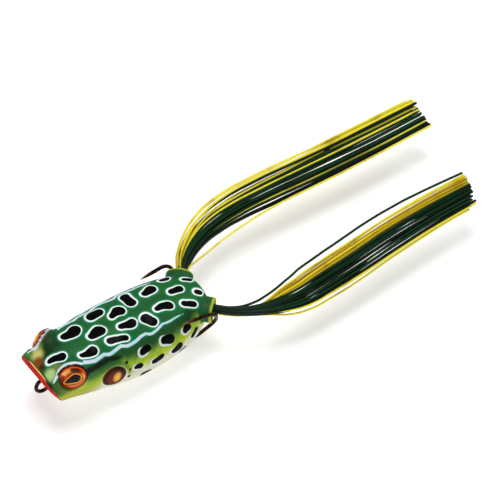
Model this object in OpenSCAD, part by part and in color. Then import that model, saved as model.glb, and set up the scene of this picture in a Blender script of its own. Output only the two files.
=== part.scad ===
// Hollow-bodied popping frog lure: soft shell, weighted double hook, glued eyes and two strand legs.
// The centre of the line-tie eye is the origin, the nose points to -Y and +X is the frog's left side.

/* [Body shell] */
// Scale of the body's width and height against the drawn sections
body_girth = 1.0; // [0.95:0.01:1.03]
// Wall thickness of the soft shell
shell_wall = 1.4; // [1.2:0.1:1.6]
// Half width of the mouth rim
mouth_half_w = 9.9; // [9.4:0.1:10.2]
// Half height of the mouth rim, measured in its own plane
mouth_half_h = 5.6; // [5.2:0.1:6]
// Lean of the mouth plane, so that the upper lip hangs over the lower one
mouth_tilt = 26.8; // [22:0.2:30]
// Depth of the cupped mouth
mouth_depth = 3.8; // [3:0.1:4.2]

/* [Double hook] */
// Diameter of the hook wire
wire_d = 1.3; // [1.1:0.05:1.4]
// Radius of the line-tie eye at the wire's centre
eye_bend_r = 2.1; // [2:0.05:2.3]
// Radius of the coined land inside the line-tie eye
eye_bore_r = 1.55; // [1.5:0.01:1.6]
// Radius of each hook's bend at the wire's centre
hook_bend_r = 5.0; // [4.8:0.1:5.1]
// Sideways lean of each hook's bend from upright
hook_lean = 15.5; // [12:0.5:18]
// Length of the straight arm from the bend to the point
point_arm = 8.6; // [8:0.1:9]

/* [Belly weight] */
// Radius of the cast weight
weight_r = 2.5; // [2.2:0.1:2.6]
// Length of the cast weight
weight_l = 15; // [12:0.5:15.5]

/* [Eyes] */
// Radius of each glued eye
eye_r = 4.4; // [4.2:0.1:4.6]
// Height of the clear dome over the iris disc
lens_h = 2.3; // [2:0.1:2.5]

/* [Leg sockets] */
// Half width of a socket's outer wall
socket_half_w = 4.6; // [4.4:0.1:4.7]
// Half height of a socket's outer wall
socket_half_h = 3.5; // [3.4:0.1:3.6]
// Angle between a socket and the body's long axis
socket_splay = 48; // [45:0.5:50]

/* [Strand legs] */
// Radius of the bundle where it is clamped
root_r = 1.5; // [1.4:0.05:1.6]
// Radius of one group of strands beside the socket
group_r_root = 0.5; // [0.45:0.01:0.52]
// Radius of one group of strands at the free end
group_r_tip = 0.78; // [0.7:0.01:0.85]
// Widest sideways spread of the strand groups
fan_half_w = 5.0; // [4:0.1:5.2]
// Widest upright spread of the strand groups
fan_half_h = 1.9; // [1.8:0.05:2.2]

/* [Hidden] */
$fn = 48;

LEFT = 1;
RIGHT = -1;
eps = 0.02;
wire_r = wire_d / 2;
bead_r = wire_r + 0.04;

// Cross sections of the body: [y, half width, centre height, half height, squareness]
SECTIONS = [
    [-6, 8.9, 3.0, 4.6, 3.2],
    [-3, 9.4, 3.4, 5.0, 3.2],
    [0, 9.9, 3.9, 5.8, 3.2],
    [5, 10.7, 4.6, 7.2, 3.2],
    [10, 11.3, 4.2, 8.4, 3.0],
    [16, 11.8, 3.2, 9.1, 2.9],
    [22, 12.8, 2.4, 9.7, 2.8],
    [30, 13.5, 1.8, 10.2, 2.8],
    [38, 13.4, 1.5, 10.2, 2.8],
    [46, 12.8, 1.6, 9.5, 2.7],
    [53, 11.3, 2.2, 7.9, 2.6],
    [58, 8.4, 3.5, 5.6, 2.4],
    [60.6, 5.2, 4.9, 3.5, 2.2],
    [61.6, 2.8, 5.2, 1.7, 2.0]
];
CAVITY_START = 9;
CAVITY_END = 57.5;
SECTION_SIDES = 44;
SLICE = 0.02;

// The mouth plane passes through this point
MOUTH = [0, 0.15, 2.6];

// Eye centres and the way they face, for the left side
EYE = [9.3, 6.2, 8.9];
EYE_TURN = 65;
EYE_RISE = 9.5;
disc_h = 1.1;
lens_gap = 0.03;

// Centre of a socket's rim and the pivot of the leg just outside it, for the left side
RIM = [9.1, 59.6, 4.4];
SOCKET_DIR = [sin(socket_splay), cos(socket_splay), 0];
SOCKET_SIDE = [cos(socket_splay), -sin(socket_splay), 0];
socket_len = 7;
throat_r = 2.65;
pivot_out = 1.7;
pivot_back = 0.5;
PIVOT = RIM + SOCKET_DIR * pivot_out - SOCKET_SIDE * pivot_back + [0, 0, 0.3];
root_gap = 1;
band_l = 2.2;
root_l = 7;

// Centreline of the shank, shared by both wires, and of the left hook
shank_x = wire_r + 0.03;
SHANK = [[shank_x, 2.6, 0], [shank_x, 16, -2.6], [shank_x, 36, -4.6]];
HOOK_POINT = [11.8, 46.1, 9.1];
ARM_DIR = unit([0.11, 1, -0.09]);
bend_turn = 131;
neck_l = 5.2;
taper_l = 4.5;
barb_at = 5.4;

// Middle of each leg from its pivot to its tips: points chosen by hand
LEFT_ROUTE = [
    PIVOT, [12.6, 63.2, 4.9], [15.8, 66.9, 5.3], [18.6, 71.9, 5.8], [20.5, 78.4, 6],
    [21.3, 86, 6], [20.8, 94.5, 6], [19.9, 107.5, 6], [18.3, 125.5, 6], [17.6, 143, 6],
    [17.7, 161, 6]
];
RIGHT_ROUTE = [
    [-PIVOT[0], PIVOT[1], PIVOT[2]], [-12.8, 63.6, 4.9], [-16.4, 68.3, 5.4], [-19.6, 74.7, 5.9],
    [-21.9, 83, 6], [-22.8, 92, 6], [-22.7, 104, 6], [-22.1, 116, 6], [-21.5, 130, 6],
    [-21, 146, 6], [-20.7, 170, 6]
];
// The far half of a leg starts at this point of its route
KNEE = 5;
knee_gap = 2;
TUBE_SIDES = 8;
GREEN_GROUPS = [[0, 0], [150, 1], [210, 1], [270, 1]];
YELLOW_GROUPS = [[330, 1], [30, 1], [90, 1]];

function unit(v) = v / norm(v);
function flip(p, side) = [side * p[0], p[1], p[2]];
function signed_pow(v, p) = sign(v) * pow(abs(v), p);

// Outline of a squared ellipse
function squared_ellipse(a, b, n) = [
    for (i = [0:SECTION_SIDES - 1])
        let (t = 360 * i / SECTION_SIDES)
        [a * signed_pow(cos(t), 2 / n), b * signed_pow(sin(t), 2 / n)]
];

// Row of SECTIONS at any y, by straight interpolation
function section_at(y, i = 0) =
    y <= SECTIONS[i + 1][0] || i == len(SECTIONS) - 2
        ? let (a = SECTIONS[i], b = SECTIONS[i + 1], t = (y - a[0]) / (b[0] - a[0])) a + (b - a) * t
        : section_at(y, i + 1);

// One thin upright slice of the body, drawn inset from the outer surface
module slice(row, inset) {
    translate([0, row[0], row[2]])
        rotate([90, 0, 0])
            linear_extrude(SLICE, center = true)
                polygon(squared_ellipse(row[1] * body_girth - inset, row[3] * body_girth - inset, row[4]));
}

module loft(rows, inset) {
    for (i = [0:len(rows) - 2])
        hull() {
            slice(rows[i], inset);
            slice(rows[i + 1], inset);
        }
}

// Places children with their +Z along the mouth's face normal, at the mouth centre
module at_mouth() {
    translate(MOUTH) rotate([90 + mouth_tilt, 0, 0]) children();
}

module mouth_slice(out, a, b) {
    translate([0, 0, out]) linear_extrude(SLICE) polygon(squared_ellipse(a, b, 2.6));
}

// The cupped hollow of the mouth
module mouth_cup() {
    at_mouth() {
        hull() {
            mouth_slice(0.5, mouth_half_w - 0.8, mouth_half_h - 0.8);
            mouth_slice(-mouth_depth * 0.6, mouth_half_w - 1.8, mouth_half_h - 1.5);
        }
        hull() {
            mouth_slice(-mouth_depth * 0.6, mouth_half_w - 1.8, mouth_half_h - 1.5);
            mouth_slice(-mouth_depth, mouth_half_w - 4, mouth_half_h - 3);
        }
    }
}

// Places children with their +Z along an eye's outward axis
module at_eye(side) {
    translate(flip(EYE, side)) rotate([0, 0, side * (EYE_TURN - 90) + (side > 0 ? 0 : 180)])
        rotate([0, 90 - EYE_RISE, 0]) children();
}

// Places children with their +Z along a socket, at its rim, and +X across it
module at_socket(side) {
    translate(flip(RIM, side)) rotate([-90, 0, -side * socket_splay]) children();
}

module oval_tube(a, b, from, to) {
    translate([0, 0, from]) linear_extrude(to - from) polygon(squared_ellipse(a, b, 2.1));
}

module socket_outer(side) {
    at_socket(side) {
        oval_tube(socket_half_w, socket_half_h, -2.4, 0);
        oval_tube(socket_half_w - 0.5, socket_half_h - 0.4, -socket_len, -2);
    }
}

module socket_bore(side) {
    at_socket(side) {
        oval_tube(socket_half_w - 1.1, socket_half_h - 1.0, -2.2, 1);
        translate([-side * pivot_back, -0.3, -socket_len - 4]) cylinder(r = throat_r, h = socket_len + 3);
    }
}

// Opening under the tail, which both hooks come out through
module tail_opening() {
    translate([0, 0, -14])
        linear_extrude(12.6)
            polygon([[-3.5, 45], [3.5, 45], [8, 49], [10.6, 52], [10.6, 66], [-10.6, 66], [-10.6, 52], [-8, 49]]);
}

module body_shell() {
    color("forestgreen")
        difference() {
            union() {
                difference() {
                    loft(SECTIONS, 0);
                    at_mouth() translate([-20, -20, 0]) cube([40, 40, 20]);
                }
                for (side = [LEFT, RIGHT]) {
                    socket_outer(side);
                    at_eye(side) translate([0, 0, -4]) cylinder(r1 = eye_r - 1.2, r2 = eye_r + 0.3, h = 4);
                }
            }
            mouth_cup();
            loft([
                section_at(CAVITY_START), section_at(13), section_at(19), section_at(26), section_at(34),
                section_at(42), section_at(50), section_at(54), section_at(CAVITY_END)
            ], shell_wall);
            tail_opening();
            for (side = [LEFT, RIGHT]) {
                socket_bore(side);
                at_eye(side) translate([0, 0, -disc_h]) cylinder(r = eye_r + eps, h = disc_h + 2);
            }
            shank_hole();
        }
}

// Snug hole through the floor of the mouth cup for the two shanks
module shank_hole() {
    for (side = [LEFT, RIGHT])
        rod(flip(SHANK[0], side), flip(SHANK[1], side), wire_r + 0.05);
    rod([0, SHANK[0][1], SHANK[0][2]], [0, SHANK[1][1], SHANK[1][2]], wire_r + 0.05);
}

// A round rod between two points; r2 gives it a taper
module rod(a, b, r, r2 = -1) {
    d = b - a;
    translate(a)
        rotate([0, acos(d[2] / norm(d)), atan2(d[1], d[0])])
            cylinder(r1 = r, r2 = r2 < 0 ? r : r2, h = norm(d));
}

module bead(p) {
    translate(p) sphere(r = bead_r);
}

// Frame of the left hook's bend: along the arm, then down into the bend
BEND_DOWN = let (d = [-sin(hook_lean), 0, -cos(hook_lean)]) unit(d - ARM_DIR * (d * ARM_DIR));
BEND_START = HOOK_POINT + ARM_DIR * point_arm;
BEND_CENTRE = BEND_START + BEND_DOWN * hook_bend_r;
BEND_END = BEND_CENTRE + (ARM_DIR * sin(bend_turn) - BEND_DOWN * cos(bend_turn)) * hook_bend_r;
NECK_DIR = ARM_DIR * cos(bend_turn) + BEND_DOWN * sin(bend_turn);
NECK_END = BEND_END + NECK_DIR * neck_l;

// Turns the flat bend into the left hook's own plane
module in_bend_plane() {
    x = -BEND_DOWN;
    y = ARM_DIR;
    z = cross(x, y);
    c = BEND_CENTRE;
    multmatrix([[x[0], y[0], z[0], c[0]], [x[1], y[1], z[1], c[1]], [x[2], y[2], z[2], c[2]], [0, 0, 0, 1]])
        children();
}

module left_hook() {
    tip = HOOK_POINT;
    rod(tip + ARM_DIR * taper_l, tip, wire_r, 0.08);
    rod(tip + ARM_DIR * (taper_l - eps), BEND_START, wire_r);
    rod(tip + ARM_DIR * barb_at, tip + ARM_DIR * (barb_at + 1.5) + BEND_DOWN * 1.1, 0.45, 0.1);
    bead(BEND_START);
    in_bend_plane() rotate_extrude(angle = bend_turn) translate([hook_bend_r, 0]) circle(r = wire_r);
    bead(BEND_END);
    rod(BEND_END, NECK_END, wire_r);
    bead(NECK_END);
    rod(NECK_END, SHANK[2], wire_r);
    bead(SHANK[2]);
    rod(SHANK[2], SHANK[1], wire_r);
    bead(SHANK[1]);
    rod(SHANK[1], SHANK[0], wire_r);
}

// One bent wire: line-tie eye, two shanks side by side and two hooks
module double_hook() {
    color("#4a3a2e")
        difference() {
            union() {
                rotate([0, 90, 0]) rotate_extrude() translate([eye_bend_r, 0]) circle(r = wire_r);
                left_hook();
                mirror([1, 0, 0]) left_hook();
            }
            rotate([0, 90, 0]) cylinder(r = eye_bore_r, h = 4, center = true);
        }
}

// Brazing metal in the groove above and below the touching shanks
module shank_braze() {
    front = [0, 5, -0.47];
    back = [0, 15, -2.41];
    color("#8a7350")
        difference() {
            translate(front) rotate([-acos((back - front)[1] / norm(back - front)), 0, 0])
                translate([-0.35, 0, -0.62]) cube([0.7, norm(back - front), 1.24]);
            for (side = [LEFT, RIGHT])
                rod(flip(SHANK[0], side), flip(SHANK[1], side), wire_r + 0.01);
        }
}

// Lead weight cast round both shanks
module belly_weight() {
    run = unit(SHANK[2] - SHANK[1]);
    start = [0, SHANK[1][1], SHANK[1][2]] + run * 4.2;
    color("#77797c")
        difference() {
            translate(start) rotate([-90 - atan2(-run[2], run[1]), 0, 0]) rotate_extrude() weight_profile();
            for (side = [LEFT, RIGHT])
                rod(flip(SHANK[1], side), flip(SHANK[2], side), wire_r + 0.01);
            translate(start) rotate([-90 - atan2(-run[2], run[1]), 0, 0])
                translate([-shank_x, -wire_r, -1]) cube([2 * shank_x, wire_d, weight_l + 2]);
        }
}

// Half outline of the weight: a quarter-round nose, a straight side and a quarter-round tail
module weight_profile() {
    intersection() {
        union() {
            translate([0, weight_r]) circle(r = weight_r);
            translate([0, weight_l - weight_r]) circle(r = weight_r);
            translate([0, weight_r]) square([weight_r, weight_l - 2 * weight_r]);
        }
        square([weight_r, weight_l]);
    }
}

// Printed iris disc, set in a recess of the shell
module eye_disc(side) {
    color("orangered") at_eye(side) translate([0, 0, -disc_h + eps]) cylinder(r = eye_r, h = disc_h - eps);
}

// Clear dome glued over the disc
module eye_lens(side) {
    ball_r = (eye_r * eye_r + lens_h * lens_h) / (2 * lens_h);
    color("#ffd0a0")
        at_eye(side)
            translate([0, 0, lens_gap])
                intersection() {
                    translate([0, 0, lens_h - ball_r]) sphere(r = ball_r, $fn = 96);
                    cylinder(r = eye_r + 1, h = lens_h + 1);
                }
}

// Places children on the axis of the clamped strands, +Z out of the socket, with 0 at the leg's pivot
module at_root(side) {
    translate(flip(PIVOT, side)) rotate([-90, 0, -side * socket_splay]) children();
}

// Clamped part of the strands, from inside the shell to just short of the pivot
module skirt_root(side) {
    color("#1d4a2a")
        at_root(side)
            translate([0, 0, -root_gap - root_l]) cylinder(r = root_r, h = root_l);
}

// Rubber band that holds the strands in the socket's throat
module skirt_band(side) {
    color("#222222")
        at_root(side)
            translate([0, 0, -root_gap - root_l + 1])
                difference() {
                    cylinder(r = throat_r - 0.1, h = band_l);
                    translate([0, 0, -1]) cylinder(r = root_r + 0.02, h = band_l + 2);
                }
}

// Share of the way along a leg, 0 at the pivot and 1 at the tips
function along(route, i) = i / (len(route) - 1);
function ease(t) = t * t * (3 - 2 * t);

// Direction of a route at one of its points, and the level direction across it
function heading(route, i) =
    unit(route[min(i + 1, len(route) - 1)] - route[max(i - 1, 0)]);
function across(route, i) = unit(cross(heading(route, i), [0, 0, 1]));
function above(route, i) = cross(across(route, i), heading(route, i));

function group_r(t) = group_r_root + (group_r_tip - group_r_root) * ease(min(1, t * 2));
function fan_w(t) = 2.1 * group_r_root + (fan_half_w - 2.1 * group_r_root) * ease(min(1, t * 1.6));
function fan_h(t) = 2.1 * group_r_root + (fan_half_h - 2.1 * group_r_root) * ease(min(1, t * 1.6));

// Centre of one strand group at one point of the route; shift moves it along the heading
function group_centre(route, i, group, side, shift = 0) =
    let (t = along(route, i))
    route[i] + heading(route, i) * shift
        + across(route, i) * (side * group[1] * cos(group[0]) * fan_w(t))
        + above(route, i) * (group[1] * sin(group[0]) * fan_h(t));

function group_ring(route, i, group, side, shift) =
    let (c = group_centre(route, i, group, side, shift), r = group_r(along(route, i)))
    [for (k = [0:TUBE_SIDES - 1])
        let (a = 360 * k / TUBE_SIDES)
        c + across(route, i) * (r * cos(a)) + above(route, i) * (r * sin(a))];

// One strand group as a closed tube through points first..last of a route
module group_tube(route, first, last, group, side, start_shift, end_shift) {
    rings = last - first + 1;
    points = [
        for (i = [first:last])
            for (p = group_ring(route, i, group, side, i == first ? start_shift : i == last ? end_shift : 0))
                p
    ];
    sides = [
        for (i = [0:rings - 2])
            for (k = [0:TUBE_SIDES - 1])
                let (n = (k + 1) % TUBE_SIDES, a = i * TUBE_SIDES, b = a + TUBE_SIDES)
                [a + k, a + n, b + n, b + k]
    ];
    caps = [
        [for (k = [TUBE_SIDES - 1:-1:0]) k],
        [for (k = [0:TUBE_SIDES - 1]) (rings - 1) * TUBE_SIDES + k]
    ];
    polyhedron(points, concat(sides, caps));
}

// Strand groups from the pivot to the knee
module near_groups(route, groups, side) {
    for (g = groups)
        group_tube(route, 0, KNEE, g, side, 0, -knee_gap / 2);
}

// Strand groups from the knee to the tips
module far_groups(route, groups, side) {
    for (g = groups)
        group_tube(route, KNEE, len(route) - 1, g, side, knee_gap / 2, 0);
}

module green() {
    color("#0f4a33") children();
}

module yellow() {
    color("#d8c820") children();
}

body_shell();
double_hook();
shank_braze();
belly_weight();
eye_disc(LEFT);  // left_eye_disc
eye_lens(LEFT);  // left_eye_lens
eye_disc(RIGHT);  // right_eye_disc
eye_lens(RIGHT);  // right_eye_lens
skirt_band(LEFT);  // left_skirt_band
skirt_root(LEFT);  // left_skirt_root
skirt_band(RIGHT);  // right_skirt_band
skirt_root(RIGHT);  // right_skirt_root
green() near_groups(LEFT_ROUTE, GREEN_GROUPS, LEFT);  // left_near_green
yellow() near_groups(LEFT_ROUTE, YELLOW_GROUPS, LEFT);  // left_near_yellow
green() far_groups(LEFT_ROUTE, GREEN_GROUPS, LEFT);  // left_far_green
yellow() far_groups(LEFT_ROUTE, YELLOW_GROUPS, LEFT);  // left_far_yellow
green() near_groups(RIGHT_ROUTE, GREEN_GROUPS, RIGHT);  // right_near_green
yellow() near_groups(RIGHT_ROUTE, YELLOW_GROUPS, RIGHT);  // right_near_yellow
green() far_groups(RIGHT_ROUTE, GREEN_GROUPS, RIGHT);  // right_far_green
yellow() far_groups(RIGHT_ROUTE, YELLOW_GROUPS, RIGHT);  // right_far_yellow
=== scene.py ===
import math
import bpy
import numpy as np
from mathutils import Matrix, Vector


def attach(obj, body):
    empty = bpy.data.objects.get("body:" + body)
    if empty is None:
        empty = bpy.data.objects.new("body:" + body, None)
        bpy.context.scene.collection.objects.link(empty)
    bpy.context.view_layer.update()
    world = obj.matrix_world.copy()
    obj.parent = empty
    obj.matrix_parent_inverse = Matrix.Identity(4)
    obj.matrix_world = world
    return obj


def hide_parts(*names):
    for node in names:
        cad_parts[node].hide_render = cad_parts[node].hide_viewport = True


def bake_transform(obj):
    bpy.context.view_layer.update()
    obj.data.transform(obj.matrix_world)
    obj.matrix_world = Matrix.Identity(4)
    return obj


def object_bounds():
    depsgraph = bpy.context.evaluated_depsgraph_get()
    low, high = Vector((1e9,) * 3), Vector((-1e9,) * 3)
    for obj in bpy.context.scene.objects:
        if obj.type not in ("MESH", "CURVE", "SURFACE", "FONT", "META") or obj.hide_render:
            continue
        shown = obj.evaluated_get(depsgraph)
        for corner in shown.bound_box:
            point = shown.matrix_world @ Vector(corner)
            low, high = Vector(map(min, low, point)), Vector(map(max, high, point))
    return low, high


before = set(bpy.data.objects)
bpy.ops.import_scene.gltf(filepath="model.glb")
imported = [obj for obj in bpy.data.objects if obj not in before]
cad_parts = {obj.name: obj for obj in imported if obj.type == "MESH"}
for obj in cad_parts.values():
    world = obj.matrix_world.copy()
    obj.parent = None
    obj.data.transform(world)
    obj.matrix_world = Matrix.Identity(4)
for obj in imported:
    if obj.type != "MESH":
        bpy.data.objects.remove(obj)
CAD_BOX = [list(v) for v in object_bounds()]
MM = 0.001
SIDES = {"left": 1, "right": -1}


# --- shape: everything here is in millimetres, in the lure's own frame ---

# Cross sections of the body: y, half width, centre height, half height, squareness
SECTIONS = np.array([
    (-6, 8.9, 3.0, 4.6, 3.0), (-3, 9.4, 3.4, 5.0, 3.0), (0, 9.9, 3.9, 5.8, 3.0),
    (5, 10.7, 4.6, 7.2, 3.0), (10, 11.3, 4.2, 8.4, 2.9), (16, 11.8, 3.2, 9.1, 2.8),
    (22, 12.8, 2.4, 9.7, 2.7), (30, 13.5, 1.8, 10.2, 2.7), (38, 13.4, 1.5, 10.2, 2.7),
    (46, 12.8, 1.6, 9.5, 2.6), (53, 11.3, 2.2, 7.9, 2.5), (58, 8.4, 3.5, 5.6, 2.4),
    (60.6, 5.2, 4.9, 3.5, 2.2), (61.6, 2.8, 5.2, 1.7, 2.0),
])
# Mouth: centre of its face, the way it faces, and up along it
MOUTH = np.array([0, 0.15, 2.6])
MOUTH_OUT = np.array([0, -0.8926, -0.4509])
MOUTH_UP = np.array([0, -0.4509, 0.8926])
# Left eye: centre, axis, and the directions to its front and top
EYE = np.array([9.3, 6.2, 8.9])
EYE_OUT = np.array([0.894, -0.417, 0.165])
EYE_FRONT = np.array([-0.405, -0.911, -0.075])
EYE_UP = np.array([-0.182, 0.0, 0.983])
EYE_R = 4.4
# Left leg socket: centre of its rim, the way it points, and across it
RIM = np.array([9.1, 59.6, 4.4])
SOCKET_DIR = np.array([0.7431, 0.6691, 0])
SOCKET_SIDE = np.array([0.6691, -0.7431, 0])
# Centre of the painted ear, on the left
EAR = np.array([12.4, 19.5, 2.7])
BODY_END = 61.6
# Squared ellipses, half width, half height and squareness: mouth cup, socket collar, tube and bore
CUP = (9.0, 4.7, 2.6)
COLLAR = (4.6, 3.5, 2.1)
TUBE = (4.05, 3.05, 2.1)
BORE = (3.5, 2.5, 2.1)
TAIL_CUT = [(-3.5, 45), (3.5, 45), (8, 49), (10.6, 52), (10.6, 66), (-10.6, 66), (-10.6, 52), (-8, 49)]
TAIL_CUT_TOP = -1.4
WALL = 1.4


def pchip(xs, ys, x):
    """Smooth curve through points that never overshoots them."""
    h = np.diff(xs)
    d = np.diff(ys) / h
    m = np.zeros(len(xs))
    same = d[:-1] * d[1:] > 0
    w1, w2 = 2 * h[1:] + h[:-1], h[1:] + 2 * h[:-1]
    safe = np.where(same, d[:-1] * d[1:], 1)
    m[1:-1] = np.where(same, (w1 + w2) * safe / (w1 * d[1:] + w2 * d[:-1] + ~same), 0)
    m[0], m[-1] = d[0], d[-1]
    x = np.clip(x, xs[0], xs[-1])
    i = np.clip(np.searchsorted(xs, x) - 1, 0, len(xs) - 2)
    t = (x - xs[i]) / h[i]
    return (ys[i] * (2 * t**3 - 3 * t**2 + 1) + m[i] * h[i] * (t**3 - 2 * t**2 + t)
            + ys[i + 1] * (3 * t**2 - 2 * t**3) + m[i + 1] * h[i] * (t**3 - t**2))


STATIONS = np.arange(-8, 66.01, 0.1)
PROFILE = [pchip(SECTIONS[:, 0], SECTIONS[:, k], STATIONS) for k in range(1, 5)]


def section(y):
    """Half width, centre height, half height and squareness of the body at y."""
    return [np.interp(y, STATIONS, column) for column in PROFILE]


def smax(a, b, k):
    """Larger of two fields, rounded where they cross."""
    h = np.clip(0.5 - 0.5 * (b - a) / k, 0, 1)
    return b + (a - b) * h + k * h * (1 - h)


def smin(a, b, k):
    return -smax(-a, -b, k)


def oval(u, v, a, b, n):
    """Rough distance from a squared ellipse; negative inside."""
    q = (np.abs(u / a) ** n + np.abs(v / b) ** n) ** (1 / n)
    rho = np.hypot(u, v)
    reach = np.where(q > 1e-3, rho / np.maximum(q, 1e-3), np.minimum(a, b))
    return (q - 1) * reach


def loft(x, y, z, inset=0.0):
    a, c, b, n = section(y)
    return oval(x, z - c, a - inset, b - inset, n)


def prism(x, y, corners):
    """Distance out of an upright prism with these corners."""
    d = np.full(np.shape(x), -1e9)
    for (x0, y0), (x1, y1) in zip(corners, corners[1:] + corners[:1]):
        l = math.hypot(x1 - x0, y1 - y0)
        d = np.maximum(d, ((x - x0) * (y1 - y0) - (y - y0) * (x1 - x0)) / l)
    return d


def eye_place(ax, y, z):
    """Distance out along the eye's axis, away from the axis, and up from its middle."""
    ex, ey, ez = ax - EYE[0], y - EYE[1], z - EYE[2]
    out = ex * EYE_OUT[0] + ey * EYE_OUT[1] + ez * EYE_OUT[2]
    rise = ex * EYE_UP[0] + ey * EYE_UP[1] + ez * EYE_UP[2]
    return out, np.sqrt(np.maximum(ex**2 + ey**2 + ez**2 - out**2, 0)), rise


def socket_place(ax, y):
    """Distance out of a leg socket from its rim, and across it."""
    sx, sy = ax - RIM[0], y - RIM[1]
    return sx * SOCKET_DIR[0] + sy * SOCKET_DIR[1], sx * SOCKET_SIDE[0] + sy * SOCKET_SIDE[1]


def mouth_place(y, z):
    """Distance out of the mouth's face, and up along it."""
    py, pz = y - MOUTH[1], z - MOUTH[2]
    return py * MOUTH_OUT[1] + pz * MOUTH_OUT[2], py * MOUTH_UP[1] + pz * MOUTH_UP[2]


def body_field(x, y, z):
    """Signed field of the soft shell: negative in the rubber."""
    ax = np.abs(x)
    d = smax(loft(x, y, z), y - BODY_END, 1.6)
    # raised seats of the eyes
    out, rad, _ = eye_place(ax, y, z)
    seat = smax(smax(rad - 4.9 - 0.28 * np.minimum(out, 0), out + 0.4, 0.3), -out - 5, 0.3)
    d = smin(d, seat, 1.5)
    # leg sockets with their collars
    (t, w), sz = socket_place(ax, y), z - RIM[2]
    collar = smax(oval(w, sz, *COLLAR), np.abs(t + 0.9) - 1.5, 0.45)
    tube = smax(oval(w, sz, *TUBE), np.abs(t + 4.2) - 3, 0.3)
    d = smin(d, tube, 1.8)
    d = smin(d, collar, 0.35)
    # the mouth's face and its cup
    face, up = mouth_place(y, z)
    d = smax(d, face, 1.1)
    q = (np.abs(x / CUP[0]) ** CUP[2] + np.abs(up / CUP[1]) ** CUP[2]) ** (1 / CUP[2])
    cup = smax(oval(x, up, *CUP), -face - 3.9 * np.clip(1 - q**3, 0, 1) ** 0.6, 0.5)
    d = smax(d, -cup, 0.5)
    # the hollow, the socket bores, the eye recesses and the opening under the tail
    hollow = smax(smax(loft(x, y, z, WALL), 9 - y, 1.5), y - 57.5, 1.5)
    d = smax(d, -hollow, 0.2)
    bore = smax(oval(w, sz, *BORE), -t - 2.2, 0.3)
    throat = smax(np.hypot(w + 0.5, sz - 0.3) - 2.65, np.abs(t + 7) - 6.5, 0.1)
    d = smax(d, -smin(bore, throat, 0.3), 0.35)
    d = smax(d, -smax(rad - EYE_R - 0.04, -out - 1.1, 0.1), 0.12)
    cut = smax(prism(x, y, TAIL_CUT), z - TAIL_CUT_TOP, 1.2)
    return smax(d, -cut, 0.5)


def gradient(p, e=0.04):
    """Slope of the field at points."""
    g = np.empty_like(p)
    for k in range(3):
        a, b = p.copy(), p.copy()
        a[:, k] += e
        b[:, k] -= e
        g[:, k] = (body_field(*a.T) - body_field(*b.T)) / (2 * e)
    return g


def surface(lo, hi, h):
    """Quads on the field's zero surface, one vertex in each grid cell that it crosses."""
    axes = [np.arange(lo[k], hi[k] + h, h) for k in range(3)]
    f = body_field(*np.meshgrid(*axes, indexing="ij"))
    n = np.array(f.shape) - 1
    total, count = np.zeros((*n, 3)), np.zeros(n)
    corners = [(i, j, k) for i in (0, 1) for j in (0, 1) for k in (0, 1)]

    def part(c):
        return f[c[0]:c[0] + n[0], c[1]:c[1] + n[1], c[2]:c[2] + n[2]]

    for c in corners:
        for axis in range(3):
            if c[axis]:
                continue
            e = list(c)
            e[axis] = 1
            fa, fb = part(c), part(e)
            cross = (fa < 0) != (fb < 0)
            share = np.where(cross, fa / np.where(cross, fa - fb, 1), 0)
            for k in range(3):
                at = c[k] + (share if k == axis else 0)
                total[..., k] += np.where(cross, at, 0)
            count += cross
    cells = np.argwhere(count > 0)
    index = -np.ones(n, int)
    index[tuple(cells.T)] = np.arange(len(cells))
    points = (cells + total[tuple(cells.T)] / count[tuple(cells.T)][:, None]) * h + np.array(lo)
    quads = []
    for axis in range(3):
        u, v = (axis + 1) % 3, (axis + 2) % 3
        a = [slice(0, -1) if k == axis else slice(1, -1) for k in range(3)]
        b = [slice(1, None) if k == axis else slice(1, -1) for k in range(3)]
        fa, fb = f[tuple(a)], f[tuple(b)]
        at = np.argwhere((fa < 0) != (fb < 0))
        solid_first = fa[tuple(at.T)] < 0
        at = at + np.array([0 if k == axis else 1 for k in range(3)])
        ring = []
        for du, dv in ((0, 0), (1, 0), (1, 1), (0, 1)):
            c = at.copy()
            c[:, u] -= du
            c[:, v] -= dv
            ring.append(index[tuple(c.T)])
        ring = np.stack(ring, 1)
        ring[~solid_first] = ring[~solid_first][:, ::-1]
        quads.append(ring)
    return points, np.concatenate(quads)


# Steps of the table of places on the skin, and its column at the widest turn of the section
SKIN_STEP, EQUATOR = 0.5, 60


def skin_table():
    """Arc length from the middle of the back, by place along the body and angle round the section."""
    ys, turns = np.arange(-8, 66.01, SKIN_STEP), np.linspace(0, math.pi, 2 * EQUATOR + 1)
    out = np.empty((len(ys), len(turns)))
    t = np.linspace(0, math.pi, 721)
    for i, y in enumerate(ys):
        a, c, b, n = section(y)
        sx = a * np.abs(np.sin(t)) ** (2 / n)
        sz = b * np.sign(np.cos(t)) * np.abs(np.cos(t)) ** (2 / n)
        arc = np.concatenate([[0], np.cumsum(np.hypot(np.diff(sx), np.diff(sz)))])
        out[i] = np.interp(turns, np.arctan2(sx / a, sz / b), arc)
    return ys, turns, out


SKIN_Y, SKIN_TURN, SKIN_ARC = skin_table()


def skin_place(x, y, z):
    """Distance round the skin from the middle of the back, plus on the left and minus on the right."""
    a, c, b, n = section(y)
    turn = np.arctan2(np.abs(x) / a, (z - c) / b)
    i = np.clip((y - SKIN_Y[0]) / SKIN_STEP, 0, len(SKIN_Y) - 1.001)
    j = np.clip(turn / SKIN_TURN[1], 0, len(SKIN_TURN) - 1.001)
    i0, j0 = i.astype(int), j.astype(int)
    fi, fj = i - i0, j - j0
    arc = (SKIN_ARC[i0, j0] * (1 - fi) * (1 - fj) + SKIN_ARC[i0 + 1, j0] * fi * (1 - fj)
           + SKIN_ARC[i0, j0 + 1] * (1 - fi) * fj + SKIN_ARC[i0 + 1, j0 + 1] * fi * fj)
    return np.where(x < 0, -1.0, 1.0) * arc


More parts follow.
